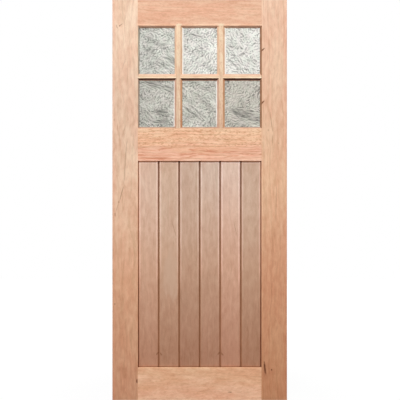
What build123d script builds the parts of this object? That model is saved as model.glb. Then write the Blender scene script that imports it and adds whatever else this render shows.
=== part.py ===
from build123d import *
import os

os.makedirs("parts", exist_ok=True)

# Glazed front door leaf: six obscured panes over a panel of upright boards, all sizes in millimetres.
# X runs across the leaf from its hinge edge, Y through it from front (minus) to back, Z up from its foot.

# Leaf
door_width = 864
door_height = 1981
door_thickness = 44
arris = 1.5

# Frame members
stile_width = 126
top_rail_width = 128
lock_rail_width = 162
bottom_rail_width = 162
panel_height = 1022.5

# Mortise and tenon joints
tenon_length = 80
tenon_shoulder = 22
tenon_thickness = 14
stub_length = 6

# Panel of tongued and grooved boards
board_count = 6
board_thickness = 22
board_joint_gap = 1.2
board_edge_gap = 1.2
board_end_gap = 2
rail_groove = 10
vee_width = 4.2
vee_depth = 4.5
tongue_thickness = 6
tongue_length = 8
tongue_relief = 0.5

# Glazing: plain bars, with glass held between bevelled beads on both faces
upright_bar_width = 20
cross_bar_width = 13
glass_thickness = 5
glass_edge_gap = 2
bar_bead_width = 9
frame_bead_width = 6
bead_flat = 1.5
bead_setback = 2
bead_bevel_depth = 8

# Positions that follow from the sizes
opening_width = door_width - 2 * stile_width
door_middle = door_width / 2
lock_rail_bottom = bottom_rail_width + panel_height
lock_rail_top = lock_rail_bottom + lock_rail_width
top_rail_bottom = door_height - top_rail_width
glazed_height = top_rail_bottom - lock_rail_top
light_width = (opening_width - 2 * upright_bar_width) / 3
light_height = (glazed_height - cross_bar_width) / 2
cross_bar_z = lock_rail_top + light_height + cross_bar_width / 2
columns = {
    "left": stile_width,
    "middle": stile_width + light_width + upright_bar_width,
    "right": stile_width + 2 * (light_width + upright_bar_width),
}
rows = {"lower": lock_rail_top, "upper": cross_bar_z + cross_bar_width / 2}
upright_bars = {
    "left": columns["middle"] - upright_bar_width / 2,
    "right": columns["right"] - upright_bar_width / 2,
}
rails = {
    "bottom_rail": (0, bottom_rail_width),
    "lock_rail": (lock_rail_bottom, lock_rail_top),
    "top_rail": (top_rail_bottom, door_height),
}

# Stiles: mortised for the rails and cross bars, grooved for the tongues of the outer boards

with BuildPart() as hinge_stile:
    with BuildSketch(Plane.XY) as section:
        with Locations((stile_width / 2, 0)):
            Rectangle(stile_width, door_thickness)
        chamfer(section.vertices().group_by(Axis.X)[0], length=arris)
    extrude(amount=door_height)
    with BuildSketch(Plane.YZ.offset(stile_width)):
        for low, high in rails.values():
            with Locations((0, (low + high) / 2)):
                Rectangle(tenon_thickness, high - low - 2 * tenon_shoulder)
    extrude(amount=-tenon_length, mode=Mode.SUBTRACT)
    with BuildSketch(Plane.YZ.offset(stile_width)):
        with Locations((0, cross_bar_z)):
            Rectangle(tenon_thickness, cross_bar_width)
    extrude(amount=-stub_length, mode=Mode.SUBTRACT)
    with BuildSketch(Plane.YZ.offset(stile_width)):
        with Locations((0, bottom_rail_width + panel_height / 2)):
            Rectangle(tongue_thickness, panel_height + 2 * rail_groove)
    extrude(amount=-tongue_length, mode=Mode.SUBTRACT)
hinge_stile.part.label = "hinge_stile"
export_step(hinge_stile.part, "parts/hinge_stile.step")

with BuildPart() as lock_stile:
    mirror(hinge_stile.part, about=Plane.YZ.offset(door_middle))
lock_stile.part.label = "lock_stile"
export_step(lock_stile.part, "parts/lock_stile.step")

# Rails: tenoned into the stiles, grooved for the ends of the boards, mortised for the glazing bars

board_grooves = {
    "bottom_rail": (bottom_rail_width, -rail_groove),
    "lock_rail": (lock_rail_bottom, rail_groove),
}
bar_mortises = {
    "lock_rail": (lock_rail_top, -stub_length),
    "top_rail": (top_rail_bottom, stub_length),
}

for name, (low, high) in rails.items():
    with BuildPart() as rail:
        with BuildSketch(Plane.YZ.offset(stile_width)):
            with Locations((0, (low + high) / 2)):
                Rectangle(door_thickness, high - low)
        extrude(amount=opening_width)
        with BuildSketch(Plane.YZ.offset(stile_width - tenon_length)):
            with Locations((0, (low + high) / 2)):
                Rectangle(tenon_thickness, high - low - 2 * tenon_shoulder)
        extrude(amount=opening_width + 2 * tenon_length)
        if name in board_grooves:
            edge, depth = board_grooves[name]
            with BuildSketch(Plane.XY.offset(edge)):
                with Locations((door_middle, 0)):
                    Rectangle(opening_width, board_thickness)
            extrude(amount=depth, mode=Mode.SUBTRACT)
        if name in bar_mortises:
            edge, depth = bar_mortises[name]
            with BuildSketch(Plane.XY.offset(edge)):
                with Locations(*[(x, 0) for x in upright_bars.values()]):
                    Rectangle(upright_bar_width, tenon_thickness)
            extrude(amount=depth, mode=Mode.SUBTRACT)
    rail.part.label = name
    export_step(rail.part, "parts/" + name + ".step")

# Glazing bars: the uprights run from rail to rail on stub tenons, and take the cross bars from each side

for side, x in upright_bars.items():
    with BuildPart() as bar:
        with BuildSketch(Plane.XY.offset(lock_rail_top)):
            with Locations((x, 0)):
                Rectangle(upright_bar_width, door_thickness)
        extrude(amount=glazed_height)
        with BuildSketch(Plane.XY.offset(lock_rail_top - stub_length)):
            with Locations((x, 0)):
                Rectangle(upright_bar_width, tenon_thickness)
        extrude(amount=glazed_height + 2 * stub_length)
        with BuildSketch(Plane.XZ):
            with Locations((x, cross_bar_z)):
                with GridLocations(upright_bar_width, 0, 2, 1):
                    Rectangle(2 * stub_length, cross_bar_width)
        extrude(amount=tenon_thickness / 2, both=True, mode=Mode.SUBTRACT)
    bar.part.label = side + "_glazing_bar"
    export_step(bar.part, "parts/" + side + "_glazing_bar.step")

for side, left in columns.items():
    with BuildPart() as bar:
        with BuildSketch(Plane.YZ.offset(left)):
            with Locations((0, cross_bar_z)):
                Rectangle(door_thickness, cross_bar_width)
        extrude(amount=light_width)
        with BuildSketch(Plane.YZ.offset(left - stub_length)):
            with Locations((0, cross_bar_z)):
                Rectangle(tenon_thickness, cross_bar_width)
        extrude(amount=light_width + 2 * stub_length)
    bar.part.label = side + "_cross_bar"
    export_step(bar.part, "parts/" + side + "_cross_bar.step")

# Panes, one to each light, at the middle of the leaf's thickness

for row, low in rows.items():
    for side, left in columns.items():
        with BuildPart() as pane:
            with BuildSketch(Plane.XZ):
                with Locations((left + light_width / 2, low + light_height / 2)):
                    Rectangle(light_width - 2 * glass_edge_gap, light_height - 2 * glass_edge_gap)
            extrude(amount=glass_thickness / 2, both=True)
        pane.part.label = row + "_" + side + "_pane"
        export_step(pane.part, "parts/" + row + "_" + side + "_pane.step")

# Beads: mitred round each light on both faces, bevelled towards the glass from a little below the frame's
# face. Those along the stiles and rails are narrower than those along the bars.

bead_top = bead_setback - door_thickness / 2
bead_foot = -glass_thickness / 2


def bead_section(width):
    """Outline of a front bead, away from its frame and through the leaf, its flat in step for the mitres."""
    return [
        (0, bead_top),
        (bead_flat * width / bar_bead_width, bead_top),
        (width, bead_top + bead_bevel_depth),
        (width, bead_foot),
        (0, bead_foot),
    ]


for row, low in rows.items():
    for side, left in columns.items():
        high = low + light_height
        right = left + light_width
        low_width = frame_bead_width if row == "lower" else bar_bead_width
        high_width = frame_bead_width if row == "upper" else bar_bead_width
        left_width = frame_bead_width if side == "left" else bar_bead_width
        right_width = frame_bead_width if side == "right" else bar_bead_width
        inner_low = low + low_width
        inner_high = high - high_width
        inner_left = left + left_width
        inner_right = right - right_width

        with BuildPart() as upright_beads:
            with BuildSketch(Plane.XY.offset(low)):
                Polygon(*[(left + wide, deep) for wide, deep in bead_section(left_width)], align=None)
                right_section = reversed(bead_section(right_width))
                Polygon(*[(right - wide, deep) for wide, deep in right_section], align=None)
            extrude(amount=light_height)
            # mitred ends
            with BuildSketch(Plane.XZ):
                Polygon(
                    (left, low),
                    (inner_left, inner_low),
                    (inner_left, inner_high),
                    (left, high),
                    align=None,
                )
                Polygon(
                    (right, low),
                    (right, high),
                    (inner_right, inner_high),
                    (inner_right, inner_low),
                    align=None,
                )
            extrude(amount=door_thickness / 2, mode=Mode.INTERSECT)
            mirror(about=Plane.XZ)
        upright_beads.part.label = row + "_" + side + "_upright_beads"
        export_step(upright_beads.part, "parts/" + row + "_" + side + "_upright_beads.step")

        with BuildPart() as level_beads:
            with BuildSketch(Plane.YZ.offset(left)):
                low_section = reversed(bead_section(low_width))
                Polygon(*[(deep, low + wide) for wide, deep in low_section], align=None)
                Polygon(*[(deep, high - wide) for wide, deep in bead_section(high_width)], align=None)
            extrude(amount=light_width)
            # mitred ends
            with BuildSketch(Plane.XZ):
                Polygon(
                    (left, low),
                    (right, low),
                    (inner_right, inner_low),
                    (inner_left, inner_low),
                    align=None,
                )
                Polygon(
                    (left, high),
                    (inner_left, inner_high),
                    (inner_right, inner_high),
                    (right, high),
                    align=None,
                )
            extrude(amount=door_thickness / 2, mode=Mode.INTERSECT)
            mirror(about=Plane.XZ)
        level_beads.part.label = row + "_" + side + "_level_beads"
        export_step(level_beads.part, "parts/" + row + "_" + side + "_level_beads.step")

# Panel boards: tongued on the right into the next board's groove, with a vee on both faces of each joint.
# The first board has a tongue on its left edge too, because both outer edges go into the stiles.

board_pitch = (opening_width + board_joint_gap - 2 * board_edge_gap) / board_count
board_width = board_pitch - board_joint_gap
board_face = board_thickness / 2

for index in range(board_count):
    left = stile_width + board_edge_gap + index * board_pitch
    right = left + board_width
    slot = left + tongue_length - board_joint_gap + tongue_relief
    with BuildPart() as board:
        with BuildSketch(Plane.XY.offset(bottom_rail_width - rail_groove + board_end_gap)) as section:
            Polygon(
                (left + vee_width, -board_face),
                (right - vee_width, -board_face),
                (right, vee_depth - board_face),
                (right, board_face - vee_depth),
                (right - vee_width, board_face),
                (left + vee_width, board_face),
                (left, board_face - vee_depth),
                (left, vee_depth - board_face),
                align=None,
            )
            with Locations((right, 0)):
                Rectangle(2 * (tongue_length - tongue_relief), tongue_thickness)
            if index == 0:
                with Locations((left, 0)):
                    Rectangle(2 * (tongue_length - tongue_relief), tongue_thickness)
            else:
                with Locations((left, 0)):
                    Rectangle(2 * (slot - left), tongue_thickness, mode=Mode.SUBTRACT)
        extrude(amount=panel_height + 2 * (rail_groove - board_end_gap))
    board.part.label = "board_" + str(index + 1)
    export_step(board.part, "parts/board_" + str(index + 1) + ".step")
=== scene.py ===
import math
import random
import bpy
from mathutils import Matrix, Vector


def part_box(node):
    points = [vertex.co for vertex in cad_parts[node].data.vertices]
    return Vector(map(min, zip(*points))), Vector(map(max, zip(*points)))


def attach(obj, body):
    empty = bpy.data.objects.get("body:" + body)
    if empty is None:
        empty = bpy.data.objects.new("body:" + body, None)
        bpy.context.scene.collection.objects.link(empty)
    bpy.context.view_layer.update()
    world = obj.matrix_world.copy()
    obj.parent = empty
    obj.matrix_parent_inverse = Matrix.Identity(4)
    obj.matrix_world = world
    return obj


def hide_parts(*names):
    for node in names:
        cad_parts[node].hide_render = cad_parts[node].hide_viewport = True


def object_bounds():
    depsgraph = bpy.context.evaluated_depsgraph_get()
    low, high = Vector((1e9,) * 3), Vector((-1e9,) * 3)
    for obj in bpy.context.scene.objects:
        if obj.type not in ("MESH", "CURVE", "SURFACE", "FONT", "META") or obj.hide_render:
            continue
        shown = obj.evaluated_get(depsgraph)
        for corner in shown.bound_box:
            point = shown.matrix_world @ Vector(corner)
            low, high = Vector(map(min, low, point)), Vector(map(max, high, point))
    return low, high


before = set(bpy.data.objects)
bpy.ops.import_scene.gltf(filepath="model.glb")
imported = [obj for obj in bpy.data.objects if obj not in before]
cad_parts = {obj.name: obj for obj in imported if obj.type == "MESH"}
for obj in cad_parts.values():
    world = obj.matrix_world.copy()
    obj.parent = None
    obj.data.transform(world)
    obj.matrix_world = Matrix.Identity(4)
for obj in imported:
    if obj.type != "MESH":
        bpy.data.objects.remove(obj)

from types import SimpleNamespace

import bpy
import numpy
from mathutils import Vector, noise

# Glazed front door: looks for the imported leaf, in metres, in the row's frame.
# X runs across the leaf, Y from front to back, Z up.

cad_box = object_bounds()
leaf_low = Vector(cad_box[0])
leaf_high = Vector(cad_box[1])
leaf_middle = (leaf_low + leaf_high) / 2
leaf_height = leaf_high.z - leaf_low.z
front_y = leaf_low.y

# The leaf stands from the first to the last row of the photograph
photo_rows = 400
photo_middle = 200
photo_left_edge = 112.45
metres_a_pixel = leaf_height / photo_rows


def photo_point(column, row, depth=0.0):
    """The point on the leaf's front that shows at a place in the photograph, or that far behind it."""
    return Vector((
        leaf_low.x + (column - photo_left_edge) * metres_a_pixel,
        front_y + depth,
        leaf_high.z - row * metres_a_pixel,
    ))


def in_scene(name, data):
    """An object in the scene that holds a mesh, a lamp or a camera."""
    made = bpy.data.objects.new(name, data)
    bpy.context.scene.collection.objects.link(made)
    return made


# Node helpers

noise_roughness = 0.55


def add_node(tree, kind, inputs=None, **settings):
    """A shader node with its properties set, and its inputs linked or given a value."""
    made = tree.nodes.new(kind)
    for key, value in settings.items():
        setattr(made, key, value)
    for key, value in (inputs or {}).items():
        if isinstance(value, bpy.types.NodeSocket):
            tree.links.new(value, made.inputs[key])
        else:
            made.inputs[key].default_value = value
    return made


def number(tree, operation, first, second=0.0, third=0.0):
    """The result of a sum on one, two or three numbers."""
    made = add_node(tree, "ShaderNodeMath", {0: first, 1: second, 2: third}, operation=operation)
    return made.outputs[0]


def vector(tree, operation, first, second):
    """The vector result of a sum on two vectors."""
    made = add_node(tree, "ShaderNodeVectorMath", {0: first, 1: second}, operation=operation)
    return made.outputs["Vector"]


def length(tree, first):
    """The length of a vector."""
    made = add_node(tree, "ShaderNodeVectorMath", {0: first}, operation="LENGTH")
    return made.outputs["Value"]


def remap(tree, value, low, high, to_low=0.0, to_high=1.0, smooth=False):
    """A number moved from one range to another, held inside it."""
    made = add_node(
        tree,
        "ShaderNodeMapRange",
        {0: value, 1: low, 2: high, 3: to_low, 4: to_high},
        interpolation_type="SMOOTHSTEP" if smooth else "LINEAR",
    )
    return made.outputs[0]


def mixed(tree, factor, first, second, blend_type="MIX"):
    """One colour turned into another by a factor."""
    made = add_node(
        tree,
        "ShaderNodeMix",
        {0: factor, 6: first, 7: second},
        data_type="RGBA",
        blend_type=blend_type,
    )
    return made.outputs[2]


def multiplied(tree, factor, colour, cast):
    """A colour multiplied by another, as far as a factor says."""
    return mixed(tree, factor, colour, cast, "MULTIPLY")


def noise_at(tree, place, scale, detail=3.0, output="Fac"):
    """Noise whose features are 1 / scale metres wide along each axis."""
    made = add_node(
        tree,
        "ShaderNodeTexNoise",
        {
            "Vector": vector(tree, "MULTIPLY", place, scale),
            "Scale": 1.0,
            "Detail": detail,
            "Roughness": noise_roughness,
        },
    )
    return made.outputs[output]


def object_place(tree):
    """The place of a point in its object, which is its place in the frame."""
    return add_node(tree, "ShaderNodeTexCoord").outputs["Object"]


def linear(red, green, blue):
    """A colour given as it looks on a screen, 0 to 255, as the shader needs it."""
    shades = []
    for shade in (red, green, blue):
        part = shade / 255
        shades.append(part / 12.92 if part <= 0.04045 else ((part + 0.055) / 1.055) ** 2.4)
    return (*shades, 1.0)


def tint(red, green, blue):
    """A colour to multiply by, where 1 leaves a channel as it is."""
    return (red, green, blue, 1.0)


def new_material(name):
    """An empty node material with its output, as (material, tree, output)."""
    material = bpy.data.materials.new(name)
    material.use_nodes = True
    tree = material.node_tree
    tree.nodes.clear()
    return material, tree, add_node(tree, "ShaderNodeOutputMaterial")


def give_surface(tree, output, inputs):
    """Ends a material in one plain shader, its inputs linked or given a value."""
    shader = add_node(tree, "ShaderNodeBsdfPrincipled", inputs)
    tree.links.new(shader.outputs[0], output.inputs[0])


# Wood: its stains and casts

pore_brown = linear(120, 74, 48)
resin_brown = linear(92, 46, 24)
line_brown = linear(140, 92, 62)
pale_side = tint(1.16, 1.19, 1.22)
dark_side = tint(0.84, 0.79, 0.75)
rosy_cast = tint(1.03, 0.96, 0.93)
straw_cast = tint(0.98, 1.02, 1.0)
figure_cast = tint(0.8, 0.77, 0.7)
dash_cast = tint(0.82, 0.73, 0.66)
wave_cast = tint(0.84, 0.66, 0.6)

# Features to the metre of each of its noises, across, through and along the grain
slow_scale = (4, 4, 1.3)
curl_scale = (26, 26, 12)
cloud_scale = (15, 15, 4.5)
mottle_scale = (62, 62, 21)
streak_scale = (110, 110, 9)
fibre_scale = (950, 950, 30)
pore_scale = (1500, 1500, 60)
line_scale = (36, 36, 2)
dash_scale = (190, 190, 70)
wave_scale = (72, 72, 4)
bands_a_metre = 130

# How far the grain wanders, where the pith lies and how it leans, and how pieces differ by their seed
slow_sway = (0.08, 0.08, 0.0)
curl_sway = (0.021, 0.021, 0.0)
pith_offset = (0.04, 0.15, 0.0)
pith_lean = 0.03
seed_step = (1.7, 0.9, 3.1)
middle_noise = (0.5, 0.5, 0.5)

# What the shade is made of beside the growth bands
streak_share = 0.18
mottle_share = 0.5
fibre_share = 0.32
cloud_share = 0.3
tone_blur = 0.3

# Sanded surface
fibre_rise = 0.5
pore_sink = 0.6
bump_strength = 0.35
bump_depth = 0.0005
smooth_wood = 0.5
rough_wood = 0.66
wood_specular = 0.2


def mark_mask(tree, place, centre, radii, tilt):
    """How far inside an oval mark a place is, ragged at its edge."""
    moved = vector(tree, "SUBTRACT", place, tuple(centre))
    turned = add_node(
        tree,
        "ShaderNodeVectorRotate",
        {"Vector": moved, "Angle": math.radians(tilt)},
        rotation_type="Y_AXIS",
    ).outputs["Vector"]
    scaled = vector(tree, "DIVIDE", turned, radii)
    ragged = noise_at(tree, scaled, (2.2, 2.2, 2.2))
    reach = number(tree, "ADD", length(tree, scaled), remap(tree, ragged, 0.25, 0.75, -0.35, 0.35))
    return remap(tree, reach, 1.0, 0.45, smooth=True)


def contour(tree, place, scale):
    """Thin lines where a noise crosses its middle."""
    height = number(tree, "SUBTRACT", noise_at(tree, place, scale, detail=1), 0.5)
    return remap(tree, number(tree, "ABSOLUTE", height), 0.06, 0.01)


def zone_mask(tree, grain, zone):
    """1 between two places on an axis of the leaf, with an edge that wanders about as far as it is soft."""
    axis, low, high, soft = zone
    wandering = number(tree, "MULTIPLY_ADD", grain.drift, 5 * soft, grain.axes[axis])
    rise = remap(tree, wandering, low - soft, low + soft)
    fall = remap(tree, wandering, high + soft, high - soft)
    return number(tree, "MULTIPLY", rise, fall)


def by_height(tree, height, stops):
    """A colour that turns into the next of its stops, each a height and a colour, on the way up."""
    below, colour = stops[0]
    for above, next_colour in stops[1:]:
        colour = mixed(tree, remap(tree, height, below, above), colour, next_colour)
        below = above
    return colour


def wood_grain(tree, along, seed):
    """The places and noises that one piece of wood is made of, with its grain along X or Z."""
    place = object_place(tree)
    axes = add_node(tree, "ShaderNodeSeparateXYZ", {0: place}).outputs
    order = ("X", "Y", "Z") if along == "Z" else ("Z", "Y", "X")
    turned = add_node(tree, "ShaderNodeCombineXYZ", {i: axes[axis] for i, axis in enumerate(order)})
    shift = [step * seed for step in seed_step]
    grain = vector(tree, "ADD", turned.outputs[0], shift)

    # the grain wanders along the length, slowly and then in short curls
    slow = noise_at(tree, grain, slow_scale, detail=2, output="Color")
    curl = noise_at(tree, grain, curl_scale, detail=2, output="Color")
    wander = vector(tree, "MULTIPLY", vector(tree, "SUBTRACT", slow, middle_noise), slow_sway)
    curled = vector(tree, "MULTIPLY", vector(tree, "SUBTRACT", curl, middle_noise), curl_sway)
    swept = vector(tree, "ADD", grain, wander)
    bent = vector(tree, "ADD", swept, curled)

    # growth bands round the pith, which leans a little, so that they close into long arches
    pith_point = [part + offset for part, offset in zip(shift, pith_offset)]
    from_pith = vector(tree, "MULTIPLY", vector(tree, "SUBTRACT", bent, pith_point), (1, 1, pith_lean))
    bands = add_node(
        tree,
        "ShaderNodeTexNoise",
        {"W": number(tree, "MULTIPLY", length(tree, from_pith), bands_a_metre), "Scale": 1.0, "Detail": 3.0},
        noise_dimensions="1D",
    ).outputs["Fac"]

    cloud = noise_at(tree, grain, cloud_scale)
    return SimpleNamespace(
        place=place,
        axes=axes,
        swept=swept,
        bent=bent,
        bands=bands,
        cloud=cloud,
        drift=number(tree, "SUBTRACT", cloud, 0.5),
        mottles=noise_at(tree, bent, mottle_scale, detail=2),
        streaks=noise_at(tree, bent, streak_scale),
        fibres=noise_at(tree, bent, fibre_scale, detail=4),
        pores=remap(tree, noise_at(tree, bent, pore_scale, detail=2), 0.6, 0.7),
    )


def ground_colour(tree, grain, tones, wave, blotch, contrast):
    """The wood's tones by height, shaded by its bands, streaks, mottles and fibres, with its pores."""
    height = number(tree, "MULTIPLY_ADD", grain.drift, tone_blur, grain.axes["Z"])
    mean = by_height(tree, height, [(level, linear(*tone)) for level, tone in tones])
    shade = number(tree, "MULTIPLY", grain.bands, wave)
    shares = ((grain.streaks, streak_share), (grain.mottles, mottle_share), (grain.fibres, fibre_share))
    for part, share in shares:
        shade = number(tree, "MULTIPLY_ADD", part, share * (1 - wave), shade)
    shade = number(tree, "MULTIPLY_ADD", grain.drift, cloud_share, shade)
    casts = mixed(tree, remap(tree, shade, 0.36, 0.64), pale_side, dark_side)
    colour = multiplied(tree, contrast, mean, casts)
    blotches = number(tree, "MULTIPLY_ADD", grain.mottles, 0.4, number(tree, "MULTIPLY", grain.cloud, 0.6))
    casts = mixed(tree, remap(tree, blotches, 0.4, 0.6), straw_cast, rosy_cast)
    colour = multiplied(tree, blotch, colour, casts)
    return mixed(tree, number(tree, "MULTIPLY", grain.pores, 0.25), colour, pore_brown)


def veined(tree, grain, colour, figure, dashes, waves):
    """A colour with slender dark lines that follow the grain and break off, and with veins in their zones."""
    broken = number(tree, "MULTIPLY", remap(tree, grain.streaks, 0.42, 0.56), figure)
    line = number(tree, "MULTIPLY", contour(tree, grain.swept, line_scale), broken)
    colour = multiplied(tree, line, colour, figure_cast)
    for zone, strength in dashes:
        vein = remap(tree, noise_at(tree, grain.bent, dash_scale, detail=1), 0.53, 0.62, 0, strength)
        vein = number(tree, "MULTIPLY", vein, zone_mask(tree, grain, zone))
        colour = multiplied(tree, vein, colour, dash_cast)
    for zone, strength in waves:
        vein = number(tree, "MULTIPLY", contour(tree, grain.bent, wave_scale), strength)
        vein = number(tree, "MULTIPLY", vein, zone_mask(tree, grain, zone))
        colour = multiplied(tree, vein, colour, wave_cast)
    return colour


def cast_and_marked(tree, grain, colour, zones, marks):
    """A colour with the casts of its zones, among them painted light and shade, and then with its marks."""
    for cast, *limits in zones:
        mask = 1.0
        for zone in limits:
            mask = number(tree, "MULTIPLY", mask, zone_mask(tree, grain, zone))
        colour = multiplied(tree, mask, colour, cast)
    for centre, radii, tilt, strength, stain in marks:
        mask = mark_mask(tree, grain.place, centre, radii, tilt)
        colour = mixed(tree, number(tree, "MULTIPLY", mask, strength), colour, stain)
    return colour


def faced(tree, grain, colour, along, side_shades, under):
    """A colour with painted shade on surfaces that face across the leaf or down, and with darker end grain.
    """
    normal = add_node(tree, "ShaderNodeNewGeometry").outputs["Normal"]
    facing = add_node(tree, "ShaderNodeSeparateXYZ", {0: normal}).outputs
    if side_shades:
        # painted shade in the grooves, on surfaces that face left and right
        for way, stops in zip((-1.0, 1.0), side_shades):
            turned = remap(tree, number(tree, "MULTIPLY", facing["X"], way), 0.3, 0.6)
            colour = multiplied(tree, turned, colour, by_height(tree, grain.axes["Z"], stops))
    if under:
        # a painted shadow on front surfaces that face down, inside its zone
        cast, zone = under
        front = number(tree, "LESS_THAN", grain.axes["Y"], 0.0)
        down = number(tree, "MULTIPLY", remap(tree, facing["Z"], -0.2, -0.5), front)
        down = number(tree, "MULTIPLY", down, zone_mask(tree, grain, zone))
        colour = multiplied(tree, down, colour, cast)
    # end grain soaks up more and looks darker
    end = remap(tree, number(tree, "ABSOLUTE", facing[along]), 0.85, 0.97, 0, 0.4)
    return mixed(tree, end, colour, pore_brown)


def wood(
    name,
    along,
    seed,
    tones,
    wave=0.25,
    figure=0.5,
    blotch=1.0,
    contrast=1.0,
    dashes=(),
    waves=(),
    marks=(),
    zones=(),
    side_shades=None,
    under=None,
):
    """Sanded hardwood, solid through, with its grain along X or Z.

    Tones are its mean colours at heights from the foot up. Wave is how much its growth bands show, figure
    how much its slender dark lines do, blotch how much its hue wanders, and contrast how much its shade
    does. Dashes and waves are zones with short or long veins, and their strength. Each entry of zones is
    a cast and the zones that bound it. Side shades are painted shade, by height, on surfaces that face left
    and right across the leaf, and under, a cast and a zone, is a painted shadow on those of its front that
    face down.
    """
    material, tree, output = new_material(name)
    grain = wood_grain(tree, along, seed)
    colour = ground_colour(tree, grain, tones, wave, blotch, contrast)
    colour = veined(tree, grain, colour, figure, dashes, waves)
    colour = cast_and_marked(tree, grain, colour, zones, marks)
    colour = faced(tree, grain, colour, along, side_shades, under)
    raised = number(tree, "MULTIPLY", grain.fibres, fibre_rise)
    relief = number(tree, "SUBTRACT", raised, number(tree, "MULTIPLY", grain.pores, pore_sink))
    bump = add_node(
        tree,
        "ShaderNodeBump",
        {"Height": relief, "Strength": bump_strength, "Distance": bump_depth},
    )
    give_surface(tree, output, {
        "Base Color": colour,
        "Roughness": remap(tree, grain.fibres, 0.3, 0.7, smooth_wood, rough_wood),
        "Normal": bump.outputs[0],
        "Specular IOR Level": wood_specular,
    })
    return material


arris_radius = 0.0006
bead_arris_radius = 0.0004
weld_reach = 0.00002
flat_angle = 1
arris_angle = 25


def dress(node, material, radius=arris_radius):
    """Gives a CAD node its material, and eases its arrises as sanding does."""
    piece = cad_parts[node]
    piece.data.materials.clear()
    piece.data.materials.append(material)
    # triangles are first joined into whole faces, so that only real arrises are eased
    weld = piece.modifiers.new("weld", "WELD")
    weld.merge_threshold = weld_reach
    flat = piece.modifiers.new("flat", "DECIMATE")
    flat.decimate_type = "DISSOLVE"
    flat.angle_limit = math.radians(flat_angle)
    ease = piece.modifiers.new("ease", "BEVEL")
    ease.width = radius
    ease.segments = 2
    ease.limit_method = "ANGLE"
    ease.angle_limit = math.radians(arris_angle)
    ease.use_clamp_overlap = True
    ease.loop_slide = False


# Frame. A mark is its centre, radii, tilt in degrees, strength and stain.
# A zone is its axis, low, high and softness.

rail_boxes = {rail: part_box(rail) for rail in ("top_rail", "lock_rail", "bottom_rail")}
top_low, top_high = rail_boxes["top_rail"]
lock_low, lock_high = rail_boxes["lock_rail"]
bottom_low, bottom_high = rail_boxes["bottom_rail"]
foot_level = 0.1
thigh_level = 0.59
lock_level = 1.09
glass_level = 1.49
head_level = 1.88
rim_width = 0.006
rim_soft = 0.001
rail_soft = 0.002
sharp = 0.0002
# Painted highlights: pale, rosy and bright rims along edges that border a dark line
pale_rim_highlight = tint(1.07, 1.08, 1.07)
rosy_rim_highlight = tint(1.1, 1.16, 1.2)
bright_rim_highlight = tint(1.14, 1.18, 1.18)
bright_rim_width = 1.4 * rim_width
# a painted shadow line along the lock stile's inner arris
painted_arris_shadow = tint(0.55, 0.48, 0.44)
painted_arris_shadow_width = 0.0026
rosy_strip = tint(1.0, 0.94, 0.94)
strip_width = 0.014
strip_soft = 0.003

# Stile tones by height grow lighter and less red towards the head: partly the wood's own change, partly
# painted light that is brighter near the top
stile_tones = {
    "hinge_stile": [
        (foot_level, (204, 151, 120)),
        (thigh_level, (217, 167, 135)),
        (lock_level, (234, 197, 170)),
        (glass_level, (229, 194, 170)),
        (head_level, (244, 211, 186)),
    ],
    "lock_stile": [
        (foot_level, (195, 139, 104)),
        (thigh_level, (209, 154, 121)),
        (lock_level, (231, 186, 153)),
        (glass_level, (232, 191, 163)),
        (head_level, (239, 199, 173)),
    ],
}
# Marks on the stiles, at their places in the photograph
hinge_resin = photo_point(137, 381)
hinge_speck = photo_point(115, 304)
hinge_tick_left = photo_point(116.9, 26.8)
hinge_tick_middle = photo_point(119.8, 26)
hinge_tick_right = photo_point(121.2, 24.9)
hinge_upper_line = photo_point(123.6, 65)
hinge_edge_knot = photo_point(114.3, 120)
hinge_arch_left = photo_point(118.2, 130.5)
hinge_arch_right = photo_point(123.9, 131.8)
hinge_sweep_head = photo_point(125.4, 162)
hinge_sweep_middle = photo_point(121.6, 193.7)
hinge_sweep_knot = photo_point(118.9, 202)
hinge_sweep_foot = photo_point(117.3, 207.5)
hinge_foot_knot = photo_point(115.2, 214.5)
lock_resin = photo_point(264.8, 368)
lock_speck = photo_point(271.6, 369.6)
lock_upper_whisker = photo_point(262.3, 50.3)
lock_lower_whisker = photo_point(262.3, 102.8)
lock_upper_line = photo_point(271.4, 123)
lock_line_foot = photo_point(272.4, 139.5)
lock_left_fleck = photo_point(268.3, 130.3)
lock_right_fleck = photo_point(278.4, 143.3)
lock_lower_line = photo_point(276, 205)
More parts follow.
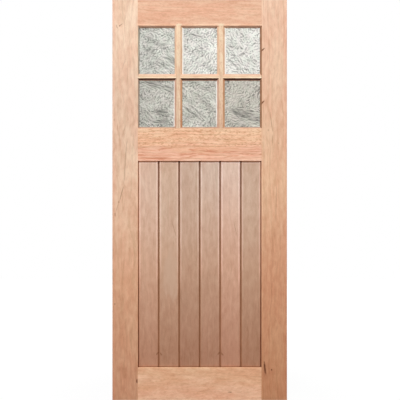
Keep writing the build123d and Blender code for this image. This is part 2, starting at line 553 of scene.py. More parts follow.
stile_marks = {
    "hinge_stile": [
        (hinge_resin, (0.004, 0.008, 0.013), 0, 0.85, resin_brown),
        (hinge_speck, (0.003, 0.008, 0.007), 0, 0.6, resin_brown),
        (hinge_tick_left, (0.003, 0.01, 0.013), 20, 0.45, line_brown),
        (hinge_tick_middle, (0.004, 0.01, 0.006), 0, 0.7, line_brown),
        (hinge_tick_right, (0.003, 0.01, 0.011), -50, 0.5, line_brown),
        (hinge_upper_line, (0.0034, 0.01, 0.04), -17, 0.2, line_brown),
        (hinge_edge_knot, (0.0045, 0.01, 0.009), 0, 0.3, line_brown),
        (hinge_arch_left, (0.0038, 0.01, 0.045), 9, 0.2, line_brown),
        (hinge_arch_right, (0.0038, 0.01, 0.042), -15, 0.2, line_brown),
        (hinge_sweep_head, (0.0032, 0.01, 0.14), -4, 0.4, line_brown),
        (hinge_sweep_middle, (0.0034, 0.01, 0.045), -15, 0.55, line_brown),
        (hinge_sweep_knot, (0.0045, 0.01, 0.008), 0, 0.5, line_brown),
        (hinge_sweep_foot, (0.0032, 0.01, 0.035), -17, 0.3, line_brown),
        (hinge_foot_knot, (0.005, 0.01, 0.012), 0, 0.45, line_brown),
    ],
    "lock_stile": [
        (lock_resin, (0.0062, 0.012, 0.042), 7, 0.85, resin_brown),
        (lock_speck, (0.0045, 0.008, 0.006), 0, 0.85, resin_brown),
        (lock_upper_whisker, (0.0042, 0.008, 0.019), -45, 1.0, pore_brown),
        (lock_lower_whisker, (0.0042, 0.008, 0.018), -42, 1.0, pore_brown),
        (lock_upper_line, (0.0036, 0.01, 0.068), 8, 0.4, line_brown),
        (lock_line_foot, (0.0034, 0.01, 0.028), 0, 0.35, line_brown),
        (lock_left_fleck, (0.004, 0.01, 0.006), 0, 0.3, line_brown),
        (lock_right_fleck, (0.004, 0.01, 0.006), 0, 0.3, line_brown),
        (lock_lower_line, (0.003, 0.01, 0.12), -1, 0.35, line_brown),
    ],
}
stile_figures = {"hinge_stile": 0.45, "lock_stile": 0.35}
for index, node in enumerate(("hinge_stile", "lock_stile")):
    low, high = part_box(node)
    inner = high.x if node == "hinge_stile" else low.x
    outer = low.x if node == "hinge_stile" else high.x
    zones = [
        (pale_rim_highlight, ("X", inner - rim_width, inner + rim_width, rim_soft)),
        (rosy_strip, ("X", outer - strip_width, outer + strip_width, strip_soft)),
    ]
    if node == "lock_stile":
        # a painted shadow line along the glazed part of its front arris
        zones.append((
            painted_arris_shadow,
            ("X", inner - painted_arris_shadow_width, inner + painted_arris_shadow_width, sharp),
            ("Y", front_y - painted_arris_shadow_width, 0.0, sharp),
            ("Z", lock_high.z, top_low.z, sharp),
        ))
    material = wood(
        node + "_wood",
        "Z",
        seed=1.0 + 1.3 * index,
        tones=stile_tones[node],
        figure=stile_figures[node],
        blotch=0.8,
        contrast=0.9,
        marks=stile_marks[node],
        zones=zones,
    )
    dress(node, material)

lock_rail_foot = lock_low.z + 0.04
lock_rail_head = lock_high.z - 0.06
bottom_rail_foot = bottom_low.z + 0.04
bottom_rail_head = bottom_high.z - 0.05
rail_tones = {
    "top_rail": [(head_level, (237, 191, 163))],
    "lock_rail": [(lock_rail_foot, (240, 188, 161)), (lock_rail_head, (243, 198, 165))],
    "bottom_rail": [(bottom_rail_foot, (238, 187, 156)), (bottom_rail_head, (231, 182, 147))],
}
# The pale ends of the glazing bars, which show in the top rail
bar_cream = linear(248, 222, 190)
bar_tip_radii = (0.021, 0.01, 0.014)
left_bar_tip = photo_point(178.8, 25.9)
right_bar_tip = photo_point(221.2, 25.9)
bar_tips = [(tip, bar_tip_radii, 0, 1.0, bar_cream) for tip in (left_bar_tip, right_bar_tip)]
head_shade = tint(0.93, 0.87, 0.85)
head_shade_width = 0.01
# Long veins below this line on the lock rail, and short ones above it
wave_line = photo_point(photo_middle, 147).z
wave_foot = lock_low.z + 0.008
vein_soft = 0.006
bottom_fleck = photo_point(230, 392)
rail_woods = {
    "top_rail": wood(
        "top_rail_wood",
        "X",
        seed=3.1,
        tones=rail_tones["top_rail"],
        figure=0.25,
        contrast=0.8,
        dashes=[(("Z", top_low.z, top_high.z, rail_soft), 0.35)],
        marks=bar_tips,
        zones=[
            (head_shade, ("Z", top_high.z - head_shade_width, top_high.z + head_shade_width, rail_soft)),
            (bright_rim_highlight, ("Z", top_low.z - rim_width, top_low.z + bright_rim_width, rim_soft)),
        ],
    ),
    "lock_rail": wood(
        "lock_rail_wood",
        "X",
        seed=4.6,
        tones=rail_tones["lock_rail"],
        wave=0.35,
        dashes=[(("Z", wave_line, lock_high.z, vein_soft), 1.0)],
        waves=[(("Z", wave_foot, wave_line, vein_soft), 1.0)],
        zones=[(rosy_rim_highlight, ("Z", lock_low.z - rim_width, lock_low.z + rim_width, rim_soft))],
    ),
    "bottom_rail": wood(
        "bottom_rail_wood",
        "X",
        seed=5.2,
        tones=rail_tones["bottom_rail"],
        wave=0.1,
        figure=0.2,
        contrast=0.85,
        dashes=[(("Z", bottom_low.z, bottom_high.z, rail_soft), 0.35)],
        marks=[(bottom_fleck, (0.013, 0.006, 0.003), 0, 0.7, line_brown)],
        zones=[(pale_rim_highlight, ("Z", bottom_high.z - rim_width, bottom_high.z + rim_width, rim_soft))],
    ),
}
for node, material in rail_woods.items():
    dress(node, material)

# Glazing bars

sides = ("left", "middle", "right")
# lighter towards the head: partly the wood's own change, partly painted light that is brighter near the top
bar_tones = [(lock_high.z, (226, 195, 169)), (head_level, (248, 220, 190))]
bar_dashes = [(("Z", lock_high.z, top_low.z, rail_soft), 0.55)]
upright_bar_wood = wood(
    "upright_bar_wood",
    "Z",
    seed=6.4,
    tones=bar_tones,
    figure=0.2,
    dashes=bar_dashes,
)
cross_low, cross_high = [corner.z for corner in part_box("middle_cross_bar")]
cross_tones = [(glass_level, (248, 219, 188))]
cross_head_cast = tint(0.96, 0.92, 0.91)
# a painted highlight along the foot of the cross bar
cross_foot_highlight = tint(1.16, 1.22, 1.24)
cross_head_width = 0.008
cross_foot_width = 0.004
cross_soft = 0.0006
cross_bar_wood = wood(
    "cross_bar_wood",
    "X",
    seed=7.7,
    tones=cross_tones,
    figure=0.2,
    zones=[
        (cross_head_cast, ("Z", cross_high - cross_head_width, cross_high + rim_soft, cross_soft)),
        (cross_foot_highlight, ("Z", cross_low - rim_soft, cross_low + cross_foot_width, cross_soft)),
    ],
)
for side in ("left", "right"):
    dress(side + "_glazing_bar", upright_bar_wood)
for side in sides:
    dress(side + "_cross_bar", cross_bar_wood)

# Beads. Those along the frame are narrower than those along the bars, and all are tinted with painted
# shade by the side of the light that they are on.

bead_width = 0.009
frame_bead_width = 0.006
bead_tone = (242, 208, 180)
upper_bead_tone = (244, 196, 168)
lower_bead_tone = (238, 190, 165)
upper_sill_cast = tint(0.92, 1.04, 1.12)
lower_sill_cast = tint(0.68, 0.72, 0.74)
# painted shadow under the cross bar, on the head bead of the lower lights: a dark brow and a near-black
# underside
brow_shadow = tint(0.42, 0.27, 0.2)
underside_shadow = tint(0.06, 0.01, 0.002)
sill_soft = 0.0004
shade_soft = 0.0003
brow_share = 0.2
shade_share = 0.86
upper_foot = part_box("upper_middle_level_beads")[0].z
lower_foot, lower_head = [corner.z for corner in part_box("lower_middle_level_beads")]
front_soft = 0.0005
front_half = ("Y", front_y, 0.0, front_soft)
upper_sill = ("Z", upper_foot - rim_soft, upper_foot + bead_width, sill_soft)
lower_sill = ("Z", lower_foot - rim_soft, lower_foot + frame_bead_width, sill_soft)
lower_shade = ("Z", lower_head - shade_share * bead_width, lower_head + rim_soft, shade_soft)
lower_brow_shadow = ("Z", lower_head - brow_share * bead_width, lower_head + rim_soft, sharp)
level_bead_woods = {
    "upper": wood(
        "upper_bead_wood",
        "X",
        seed=10.9,
        tones=[(glass_level, upper_bead_tone)],
        zones=[(upper_sill_cast, upper_sill, front_half)],
    ),
    "lower": wood(
        "lower_bead_wood",
        "X",
        seed=12.2,
        tones=[(glass_level, lower_bead_tone)],
        zones=[(lower_sill_cast, lower_sill, front_half), (brow_shadow, lower_brow_shadow, front_half)],
        under=(underside_shadow, lower_shade),
    ),
}
# painted shade on each upright bead, by the side of the light that it is on
bar_right_shades = {"upper": tint(1.0, 0.95, 0.88), "lower": tint(0.82, 0.6, 0.46)}
bar_left_shades = {"upper": tint(1.0, 0.97, 0.95), "lower": tint(0.82, 0.72, 0.74)}
hinge_stile_shades = {"upper": tint(0.72, 0.86, 0.93), "lower": tint(0.67, 0.7, 0.76)}
lock_stile_shade = tint(0.5, 0.36, 0.28)
for row_index, row in enumerate(("upper", "lower")):
    for side_index, side in enumerate(sides):
        place = row + "_" + side
        low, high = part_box(place + "_upright_beads")
        centre_x = (low.x + high.x) / 2
        left_shade = hinge_stile_shades[row] if side == "left" else bar_right_shades[row]
        right_shade = lock_stile_shade if side == "right" else bar_left_shades[row]
        material = wood(
            place + "_bead_wood",
            "Z",
            seed=9.3 + 2.1 * row_index + 0.7 * side_index,
            tones=[(glass_level, bead_tone)],
            figure=0.2,
            zones=[
                (left_shade, ("X", low.x - rim_soft, centre_x, sharp)),
                (right_shade, ("X", centre_x, high.x + rim_soft, sharp)),
            ],
        )
        dress(place + "_upright_beads", material, bead_arris_radius)
        dress(place + "_level_beads", level_bead_woods[row], bead_arris_radius)

# Panel boards, each a tone of its own, lighter towards the lock rail: partly the wood's own change, partly
# painted light that is brighter near the top

panel_foot = bottom_high.z
panel_head = lock_low.z
board_joint_gap = 0.0012
vee_width = 0.0042
board_face_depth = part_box("board_1")[0].y - front_y
board_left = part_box("board_2")[0].x
board_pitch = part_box("board_3")[0].x - board_left

# Painted shade in the joints, by height, and in the joints with the stiles
joint_shades = [
    (0.29, tint(0.87, 0.76, 0.62)),
    (0.5, tint(0.7, 0.56, 0.42)),
    (0.69, tint(0.53, 0.39, 0.266)),
    (0.89, tint(0.465, 0.332, 0.23)),
    (1.08, tint(0.39, 0.256, 0.18)),
]
hinge_side_shades = [(0.0, tint(0.644, 0.448, 0.308))]
lock_side_shades = [(0.0, tint(0.535, 0.336, 0.216))]

# Casts at the ends of the boards and along their edges: painted highlights along the edges and below the
# head, a painted shadow of the lock rail at the head, and a darker line at the foot
head_cast = tint(1.0, 0.75, 0.6)
foot_cast = tint(0.6, 0.52, 0.42)
foot_cast_height = 0.004
board_rim_highlight = tint(1.2, 1.25, 1.33)
board_rim_width = 0.0075
board_rim_foot = 0.6
board_rim_fade = 0.05
board_rim_reach = vee_width + board_rim_width
board_rim_rows = ("Z", board_rim_foot, panel_head - rim_width, board_rim_fade)

# How a board's tone changes from its foot to its head, with painted light that is brighter near the top
board_foot_level = 0.24
board_knee_level = 0.66
board_chest_level = 0.9
board_head_level = 1.12
foot_fall = (28, 34, 34)
knee_fall = (5, 5, 5)
head_lift = (7, 17, 22)
chest_share = 0.65


def toned(tone, change, share):
    """A tone with a share of a change added to its channels."""
    return [part + share * step for part, step in zip(tone, change)]


def board_point(column, row):
    """The point on the boards' front that shows at a place in the photograph."""
    return photo_point(column, row, board_face_depth)


# Two knots astride joints, each of two legs, and other marks on the boards
patch_beige = linear(206, 172, 148)
knot_radii = (0.0045, 0.03, 0.0115)
arc_radii = (0.002, 0.03, 0.055)
patch_radii = (0.045, 0.03, 0.17)
left_knot_left = (board_point(157.3, 353.8), knot_radii, -38, 0.8, line_brown)
left_knot_right = (board_point(161, 354.4), knot_radii, 36, 0.8, line_brown)
right_knot_left = (board_point(218.6, 353.8), knot_radii, -38, 0.8, line_brown)
right_knot_right = (board_point(222.3, 354.4), knot_radii, 36, 0.8, line_brown)
left_arc = (board_point(174, 229), arc_radii, 16, 0.4, line_brown)
right_arc = (board_point(235.5, 229), arc_radii, 14, 0.4, line_brown)
pale_patch = (board_point(171, 275), patch_radii, 0, 0.65, patch_beige)
# Each board's tone, how much lighter it is at its head, and its marks
board_looks = [
    ((215, 172, 146), 1.0, [left_knot_left]),
    ((207, 167, 141), 0.6, [left_knot_right, left_arc, pale_patch]),
    ((201, 161, 136), 1.0, []),
    ((206, 165, 140), 1.4, [right_knot_left]),
    ((216, 171, 146), 1.5, [right_knot_right, right_arc]),
    ((202, 162, 136), 0.9, []),
]
for index, (tone, head_share, marks) in enumerate(board_looks):
    board = "board_" + str(index + 1)
    left = board_left + (index - 1) * board_pitch
    right = left + board_pitch - board_joint_gap
    left_shades = hinge_side_shades if board == "board_1" else joint_shades
    right_shades = lock_side_shades if board == "board_6" else joint_shades
    material = wood(
        board + "_wood",
        "Z",
        seed=13.5 + 1.3 * index,
        tones=[
            (board_foot_level, toned(tone, foot_fall, -1)),
            (board_knee_level, toned(tone, knee_fall, -1)),
            (board_chest_level, toned(tone, head_lift, chest_share)),
            (board_head_level, toned(tone, head_lift, head_share)),
        ],
        wave=0.1,
        figure=0.3,
        blotch=0.4,
        contrast=0.7,
        marks=marks,
        zones=[
            (board_rim_highlight, ("X", left - board_rim_reach, left + board_rim_reach, rim_soft), board_rim_rows),
            (board_rim_highlight, ("X", right - board_rim_reach, right + board_rim_reach, rim_soft), board_rim_rows),
            (board_rim_highlight, ("Z", panel_head - 2 * rim_width, panel_head - rim_width, rim_soft)),
            (head_cast, ("Z", panel_head - rim_width, panel_head + rim_width, rim_soft)),
            (foot_cast, ("Z", panel_foot - rim_width, panel_foot + foot_cast_height, rim_soft)),
        ],
        side_shades=(left_shades, right_shades),
    )
    dress(board, material)

# Glass, with a tone for each pane that is partly painted light, and how strong its ripples and its smudges
# are

relief_depth = 0.0014
cell = 0.00125
glass_tones_and_light = {
    "upper_left": (196, 195, 186),
    "upper_middle": (210, 208, 201),
    "upper_right": (220, 218, 211),
    "lower_left": (180, 177, 167),
    "lower_middle": (194, 191, 180),
    "lower_right": (186, 180, 168),
}
glass_strengths = {
    "upper_left": (0.98, 0.19),
    "upper_middle": (0.91, 0.13),
    "upper_right": (0.87, 0.12),
    "lower_left": (1.14, 0.22),
    "lower_middle": (0.85, 0.16),
    "lower_right": (1.02, 0.24),
}
# Painted light: how much lighter some panes get from left to right
painted_light_slopes = {"upper_left": 0.2, "upper_middle": 0.16, "lower_left": 0.14}


def wisp(start, end, width, strength):
    """A darker wisp in the glass between two places in the photograph, its width in pixels."""
    return photo_point(*start), photo_point(*end), width * metres_a_pixel, strength


# Wisps that stand out in the photograph, by pane
wisps = {
    "upper_left_smear": wisp((167, 56), (174, 61), 3.5, 0.14),
    "upper_left_line": wisp((161, 64.5), (173, 71), 1.1, 0.3),
    "upper_middle_line": wisp((191, 33), (202, 36), 1.1, 0.25),
    "upper_right_rise": wisp((227, 59.5), (244, 52.5), 1.1, 0.3),
    "upper_right_fall": wisp((228, 58.5), (236, 65.5), 1.1, 0.3),
    "lower_left_head": wisp((144, 81), (171, 90), 2.6, 0.16),
    "lower_left_waist": wisp((153, 111.5), (166, 111), 1.4, 0.28),
    "lower_left_foot": wisp((155, 120.5), (166, 121), 2.2, 0.2),
    "lower_middle_long": wisp((184, 106), (203, 121), 1.0, 0.4),
    "lower_middle_short": wisp((191, 105.5), (204, 117), 1.0, 0.25),
    "lower_right_line": wisp((229, 108.5), (240, 114), 1.6, 0.22),
    "lower_right_smear": wisp((238, 115), (256, 118), 6.0, 0.16),
}

# Ripples: their size, how many there are and which way they run, in radians
ripple_length = 0.0098
ripple_length_range = (0.8, 2.0)
ripple_long_spread = 0.0098
ripple_short_spread = 0.0075
ripple_reach = 0.02
ripples_a_square_metre = 30000
rising_slant = 0.75
falling_slant = -0.6
slants_a_metre = 9
bends_a_metre = 26
slant_pull = 1.2
bend_pull = 1.2
slant_jitter = 0.85
wisp_jitter = 0.2
wisp_pull = 1.5

# Brightness of the pattern, from 0 to 1: its mean, and what ripples, mottles and smudges add or take
mean_bright = 0.62
ripple_bright = 0.22
ripple_bright_change = 0.16
mottle_dark = 0.2
mottles_a_metre = 40
deepest_crease = -2.2
highest_crown = 1.2
smudges_along = 10
smudges_across = 26
smudge_lean = 0.6


def from_wisp(right, up, start, end):
    """How far places on a pane are from the middle line of a wisp."""
    run = end - start
    share = ((right - start.x) * run.x + (up - start.z) * run.z) / run.length_squared
    held = numpy.clip(share, 0, 1)
    return numpy.hypot(right - start.x - held * run.x, up - start.z - held * run.z)


def ripple_angle(x, z, seed, chance):
    """A ripple's direction: along a wisp that is near, and elsewhere one of two slants that wander."""
    for start, end, width, strength in wisps.values():
        if from_wisp(x, z, start, end) < wisp_pull * width:
            return math.atan2(end.z - start.z, end.x - start.x) + chance.uniform(-wisp_jitter, wisp_jitter)
    slant = noise.noise(Vector((slants_a_metre * x, seed, slants_a_metre * z)))
    bend = noise.noise(Vector((bends_a_metre * x, 2 * seed, bends_a_metre * z)))
    rising = chance.random() < 0.5 + slant_pull * slant
    mean = rising_slant if rising else falling_slant
    return mean + bend_pull * bend + chance.uniform(-slant_jitter, slant_jitter)


def ripples(xs, zs, seed):
    """Height of the rolled ripples over a pane: many short waves, laid over each other."""
    chance = random.Random(seed)
    height = numpy.zeros((len(zs), len(xs)))
    area = (xs[-1] - xs[0]) * (zs[-1] - zs[0])
    for _ in range(round(ripples_a_square_metre * area)):
        x = chance.uniform(xs[0], xs[-1])
        z = chance.uniform(zs[0], zs[-1])
        angle = ripple_angle(x, z, seed, chance)
        wave = ripple_length * chance.uniform(*ripple_length_range)
        phase = chance.uniform(0, 2 * math.pi)
        columns = slice(*numpy.searchsorted(xs, (x - ripple_reach, x + ripple_reach)))
        rows = slice(*numpy.searchsorted(zs, (z - ripple_reach, z + ripple_reach)))
        right, up = numpy.meshgrid(xs[columns] - x, zs[rows] - z)
        along = right * math.cos(angle) + up * math.sin(angle)
        across = up * math.cos(angle) - right * math.sin(angle)
        fade = numpy.exp(-((along / ripple_long_spread) ** 2) - (across / ripple_short_spread) ** 2)
        height[rows, columns] += fade * numpy.cos(2 * math.pi * across / wave + phase)
    return height / height.std()


def pattern(xs, zs, seed, ripple_strength, smudge_strength):
    """How bright the rolled pattern is over a pane, from 0 in a crease to 1 on a crown."""
    right, up = numpy.meshgrid(xs, zs)
    mottle = numpy.zeros(right.shape)
    smudge = numpy.zeros(right.shape)
    for j, z in enumerate(zs):
        for i, x in enumerate(xs):
            mottle_place = Vector((mottles_a_metre * x, 3 * seed, mottles_a_metre * z))
            mottle[j, i] = noise.noise(mottle_place)
            smudge_place = Vector((smudges_along * (x - z), 5 * seed, smudges_across * (z + smudge_lean * x)))
            smudge[j, i] = noise.noise(smudge_place)
    creases = numpy.clip(ripples(xs, zs, seed), deepest_crease, highest_crown)
    swing = ripple_strength * (ripple_bright + ripple_bright_change * mottle)
    bright = mean_bright + swing * creases - mottle_dark * mottle
    bright -= smudge_strength * numpy.clip(2 * smudge, -0.4, 1)
    for start, end, width, strength in wisps.values():
        bright -= strength * numpy.clip(1.2 - from_wisp(right, up, start, end) / width, 0, 1)
    return numpy.clip(bright, 0, 1)


def glass_pane(place, seed):
    """A pane with its rolled pattern as real relief on the front, and flat at the back."""
    low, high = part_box(place + "_pane")
    columns = round((high.x - low.x) / cell)
    rows = round((high.z - low.z) / cell)
    xs = numpy.linspace(low.x, high.x, columns + 1)
    zs = numpy.linspace(low.z, high.z, rows + 1)
    bright = pattern(xs, zs, seed, *glass_strengths[place])
    fronts = []
    backs = []
    for j, z in enumerate(zs):
        for i, x in enumerate(xs):
            fronts.append((x, low.y + relief_depth * (1 - bright[j, i]), z))
            backs.append((x, high.y, z))
    count = len(fronts)
    faces = []
    for j in range(rows):
        for i in range(columns):
            first = j * (columns + 1) + i
            quad = (first, first + 1, first + columns + 2, first + columns + 1)
            faces.append(quad)
            faces.append(tuple(count + corner for corner in reversed(quad)))
    last_row = rows * (columns + 1)
    bottom = list(range(columns + 1))
    right = list(range(columns, last_row + columns + 1, columns + 1))
    top = list(range(last_row + columns, last_row - 1, -1))
    left = list(range(last_row, -1, -(columns + 1)))
    for edge in (bottom, right, top, left):
        for first, second in zip(edge, edge[1:]):
            faces.append((second, first, count + first, count + second))
    mesh = bpy.data.meshes.new(place + "_glass")
    mesh.from_pydata(fronts + backs, [], faces)
    shade = mesh.attributes.new("bright", "FLOAT", "POINT")
    shades = bright.ravel().tolist()
    shade.data.foreach_set("value", shades + shades)
    for polygon in mesh.polygons:
        polygon.use_smooth = abs(polygon.normal.y) > 0.5
    return in_scene(place + "_glass", mesh)


# Colours of the glass
glint_white = linear(252, 252, 250)
clear_cast = tint(1.06, 1.06, 1.06)
cloudy_cast = tint(0.88, 0.88, 0.86)
green_cast = tint(0.975, 1.005, 0.98)
rosy_glass_cast = tint(1.01, 0.985, 0.99)
glass_cloud_scale = (18, 18, 18)
glass_hue_scale = (34, 34, 34)
glass_speck_scale = (260, 260, 260)
glass_clearness = 1.08
palest_crown = 0.91
glass_transmission = 0.95
glass_index = 1.5


def soft_step(value):
    """A number held between 0 and 1, with soft ends."""
    held = min(1.0, max(0.0, value))
    return held * held * (3 - 2 * held)


def glass_shades(tone):
    """The colours of a pane's creases and crowns, painted shade and painted highlight, and the brightness at
    which its crowns are full.

    They are chosen so that the pane as a whole comes out at its tone. A crown can't be paler than white,
    so in a pale pane the crowns fill sooner.
    """
    body = linear(*tone)[:3]
    fullness = 1.0 - 0.28 * soft_step((max(body) - 0.5) / 0.25)
    crown_share = 0.55 / fullness - 0.25 * (1 - fullness)
    crown = min(palest_crown, 1.5 * max(body))
    pale = [crown * (part / max(body)) ** 0.8 for part in body]
    deep = []
    for part, top in zip(body, pale):
        deep.append(max(0.32 * part, (part / glass_clearness - crown_share * top) / (1 - crown_share)))
    return (*deep, 1.0), (*pale, 1.0), fullness


def glass(pane_place, tone):
    """Pale green-grey obscured glass: partly clear, partly milky, with painted shade in the creases of its
    pattern and painted highlights on its crowns.
    """
    material, tree, output = new_material(pane_place + "_glass")
    bright = add_node(tree, "ShaderNodeAttribute", attribute_name="bright").outputs["Fac"]
    place = object_place(tree)
    cloud = noise_at(tree, place, glass_cloud_scale)
    deep, pale, fullness = glass_shades(tone)
    # the pattern's brightness painted into the colour: painted shade in the creases, painted highlights on
    # the crowns
    colour = mixed(tree, remap(tree, bright, 0.0, fullness), deep, pale)
    casts = mixed(tree, remap(tree, cloud, 0.35, 0.65), clear_cast, cloudy_cast)
    colour = multiplied(tree, 1.0, colour, casts)
    hue = noise_at(tree, place, glass_hue_scale, detail=1)
    casts = mixed(tree, remap(tree, hue, 0.4, 0.6), green_cast, rosy_glass_cast)
    colour = multiplied(tree, 1.0, colour, casts)
    # painted light, lighter towards the right of the pane
    slope = painted_light_slopes.get(pane_place, 0.0) / 2
    low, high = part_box(pane_place + "_pane")
    across = add_node(tree, "ShaderNodeSeparateXYZ", {0: place}).outputs["X"]
    dim = tint(1 - slope, 1 - slope, 1 - slope)
    lit = tint(1 + slope, 1 + slope, 1 + slope)
    casts = mixed(tree, remap(tree, across, low.x, high.x), dim, lit)
    colour = multiplied(tree, 1.0, colour, casts)
    # painted glints: fine white specks
    painted_glints = remap(tree, noise_at(tree, place, glass_speck_scale, detail=1), 0.6, 0.72, 0, 0.35)
    give_surface(tree, output, {
        "Base Color": mixed(tree, painted_glints, colour, glint_white),
        "Roughness": remap(tree, cloud, 0.3, 0.7, 0.07, 0.15),
        "Transmission Weight": glass_transmission,
        "IOR": glass_index,
    })
    return material


for index, (place, tone) in enumerate(glass_tones_and_light.items()):
    pane = glass_pane(place, 1.0 + 2.3 * index)
    pane.data.materials.append(glass(place, tone))
    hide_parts(place + "_pane")
    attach(pane, "root")

# Sealant: the pale line that shows along one upright edge of four of the panes. It is built only along these
# lit edges, so the pale line is partly a painted highlight.

sealant_widths = {"upper": 0.0065, "lower": 0.0045}
lit_sealant_edges = {
    "upper_middle": "left",
    "upper_right": "left",
    "lower_left": "right",
    "lower_middle": "right",
}
sealant_steps = 60
sealant_swell = 0.22
swells_a_metre = 40
# Its outline, in widths: how far out from the bead, and how far off the glass
sealant_section = ((0, 0), (1, 0), (1, 1.3), (0.8, 1.5), (0, 1.55))


def sealant(place, edge, seed):
    """A rounded fillet of sealant in the corner between the glass and an upright bead."""
    low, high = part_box(place + "_upright_beads")
    glass_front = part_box(place + "_pane")[0].y + relief_depth
    inward = 1 if edge == "left" else -1
    corner_x = low.x + bead_width if edge == "left" else high.x - bead_width
    foot_z = low.z + bead_width
    head_z = high.z - bead_width
    mean_width = sealant_widths[place.split("_")[0]]
    corners = []
    for step in range(sealant_steps + 1):
        z = foot_z + (head_z - foot_z) * step / sealant_steps
        width = mean_width * (1 + sealant_swell * noise.noise(Vector((seed, 0, z * swells_a_metre))))
        for out, rise in sealant_section:
            corners.append((corner_x + inward * width * out, glass_front - width * rise, z))
    faces = []
    ring = len(sealant_section)
    for step in range(sealant_steps):
        for k in range(ring):
            first = step * ring + k
            second = step * ring + (k + 1) % ring
            faces.append((first, second, second + ring, first + ring))
    faces.append(tuple(reversed(range(ring))))
    faces.append(tuple(range(sealant_steps * ring, (sealant_steps + 1) * ring)))
    if inward > 0:
        # the outline runs the other way round here, so the faces are turned to look outward
        faces = [tuple(reversed(face)) for face in faces]
    mesh = bpy.data.meshes.new(place + "_sealant")
    mesh.from_pydata(corners, [], faces)
    return in_scene(place + "_sealant", mesh)


def sealant_paste():
    """Near-white sealant, a little dusty."""
    material, tree, output = new_material("sealant_paste")
    dust = noise_at(tree, object_place(tree), (180, 180, 60))
    clean = linear(255, 253, 248)
    dusty = linear(236, 229, 218)
    give_surface(tree, output, {
        "Base Color": mixed(tree, remap(tree, dust, 0.4, 0.75), clean, dusty),
        "Roughness": remap(tree, dust, 0.3, 0.7, 0.3, 0.5),
    })
    return material


paste = sealant_paste()
for index, (place, edge) in enumerate(lit_sealant_edges.items()):
    piece = sealant(place, edge, 3.0 * index)
    piece.data.materials.append(paste)
    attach(piece, "root")

# Stage

floor_drop = 0.001
floor_reach = 6.0
floor_grey = (0.3, 0.3, 0.3, 1)
plain_white = (1, 1, 1, 1)
near_leaf = 0.6
far_from_leaf = 2.5
near_glow = 1.08
far_glow = 1.2
glow_share = 0.86
low_ambient = 0.05
high_ambient = 0.6


def seen_directly(tree):
    """1 for a ray from the camera, also by way of gloss or glass, and 0 for light that falls on things."""
    path = add_node(tree, "ShaderNodeLightPath")
    seen = number(tree, "MAXIMUM", path.outputs["Is Camera Ray"], path.outputs["Is Glossy Ray"])
    return number(tree, "MAXIMUM", seen, path.outputs["Is Transmission Ray"])


def floor_paint():
    """A floor that looks white, keeps the leaf's shadow and throws only a grey floor's light back."""
    material, tree, output = new_material("floor_paint")
    matt = add_node(tree, "ShaderNodeBsdfDiffuse", {"Color": floor_grey})
    from_leaf = vector(tree, "SUBTRACT", object_place(tree), tuple(leaf_middle))
    away = length(tree, vector(tree, "MULTIPLY", from_leaf, (1, 1, 0)))
    glow = remap(tree, away, near_leaf, far_from_leaf, near_glow, far_glow)
    white = add_node(tree, "ShaderNodeEmission", {"Color": plain_white, "Strength": glow})
    share = number(tree, "MULTIPLY", seen_directly(tree), glow_share)
    shader = add_node(tree, "ShaderNodeMixShader", {0: share, 1: matt.outputs[0], 2: white.outputs[0]})
    tree.links.new(shader.outputs[0], output.inputs[0])
    return material


floor_mesh = bpy.data.meshes.new("floor")
floor_z = leaf_low.z - floor_drop
floor_corners = ((-1, -1), (1, -1), (1, 1), (-1, 1))
floor_mesh.from_pydata(
    [(leaf_middle.x + a * floor_reach, b * floor_reach, floor_z) for a, b in floor_corners],
    [],
    [(0, 1, 2, 3)],
)
floor_mesh.materials.append(floor_paint())
floor = in_scene("floor", floor_mesh)


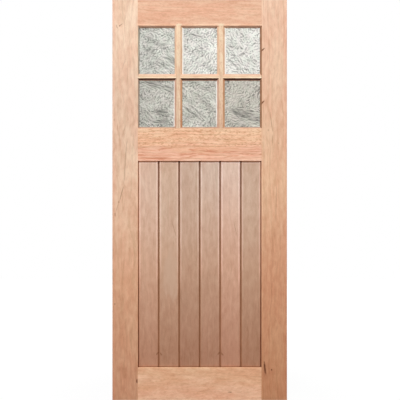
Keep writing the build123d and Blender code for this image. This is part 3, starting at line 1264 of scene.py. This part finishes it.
def studio():
    """A world that looks white, and lights the leaf softly from above."""
    world = bpy.data.worlds.new("studio")
    world.use_nodes = True
    tree = world.node_tree
    tree.nodes.clear()
    direction = add_node(tree, "ShaderNodeTexCoord").outputs["Generated"]
    upward = add_node(tree, "ShaderNodeSeparateXYZ", {0: direction}).outputs["Z"]
    ambient = remap(tree, upward, -0.1, 0.7, low_ambient, high_ambient)
    to_white = number(tree, "SUBTRACT", 1.0, ambient)
    strength = number(tree, "MULTIPLY_ADD", seen_directly(tree), to_white, ambient)
    sky = add_node(tree, "ShaderNodeBackground", {"Color": plain_white, "Strength": strength})
    tree.links.new(sky.outputs[0], add_node(tree, "ShaderNodeOutputWorld").inputs[0])
    return world


bpy.context.scene.world = studio()


def softbox(name, place, target, size, watts):
    """A large flat lamp that faces a point, and that is not seen itself."""
    lamp = bpy.data.lights.new(name, "AREA")
    lamp.shape = "RECTANGLE"
    lamp.size, lamp.size_y = size
    lamp.energy = watts
    holder = in_scene(name, lamp)
    holder.location = place
    holder.rotation_euler = (Vector(target) - Vector(place)).to_track_quat("-Z", "Y").to_euler()
    holder.visible_camera = False
    holder.visible_glossy = False
    holder.visible_transmission = False


lamp_offset = 0.8
lamp_distance = 7.0
lamp_height = 6.6
lamp_size = (4.2, 2.6)
edge_lamp_distance = 6.0
edge_lamp_back = 1.6
edge_lamp_height = 4.0
edge_lamp_size = (2.0, 2.0)
target_height = 1.0
key_watts = 606
back_watts = 480
edge_watts = 110
front_target = (leaf_middle.x, front_y, target_height)
back_target = (leaf_middle.x, leaf_high.y, target_height)
key_place = (leaf_middle.x - lamp_offset, -lamp_distance, lamp_height)
back_place = (leaf_middle.x + lamp_offset, lamp_distance, lamp_height)
softbox("key", key_place, front_target, lamp_size, key_watts)
softbox("back", back_place, back_target, lamp_size, back_watts)
# a little behind the leaf, so that these two reach its edges and not its front
for name, away in (("hinge_edge", -edge_lamp_distance), ("lock_edge", edge_lamp_distance)):
    edge_place = (leaf_middle.x + away, edge_lamp_back, edge_lamp_height)
    softbox(name, edge_place, back_target, edge_lamp_size, edge_watts)

# Camera, square on to the leaf

camera_distance = 4.0
sensor = 36.0
# the leaf runs a fifth of a pixel past the top and the foot of the picture
overfill = 1.001
camera_data = bpy.data.cameras.new("camera")
camera_data.sensor_width = sensor
camera_data.lens = overfill * sensor * camera_distance / leaf_height
camera = in_scene("camera", camera_data)
aim = photo_point(photo_middle, photo_rows / 2)
camera.location = (aim.x, front_y - camera_distance, aim.z)
camera.rotation_euler = (math.radians(90), 0, 0)
bpy.context.scene.camera = camera
bpy.context.scene.view_settings.view_transform = "Standard"
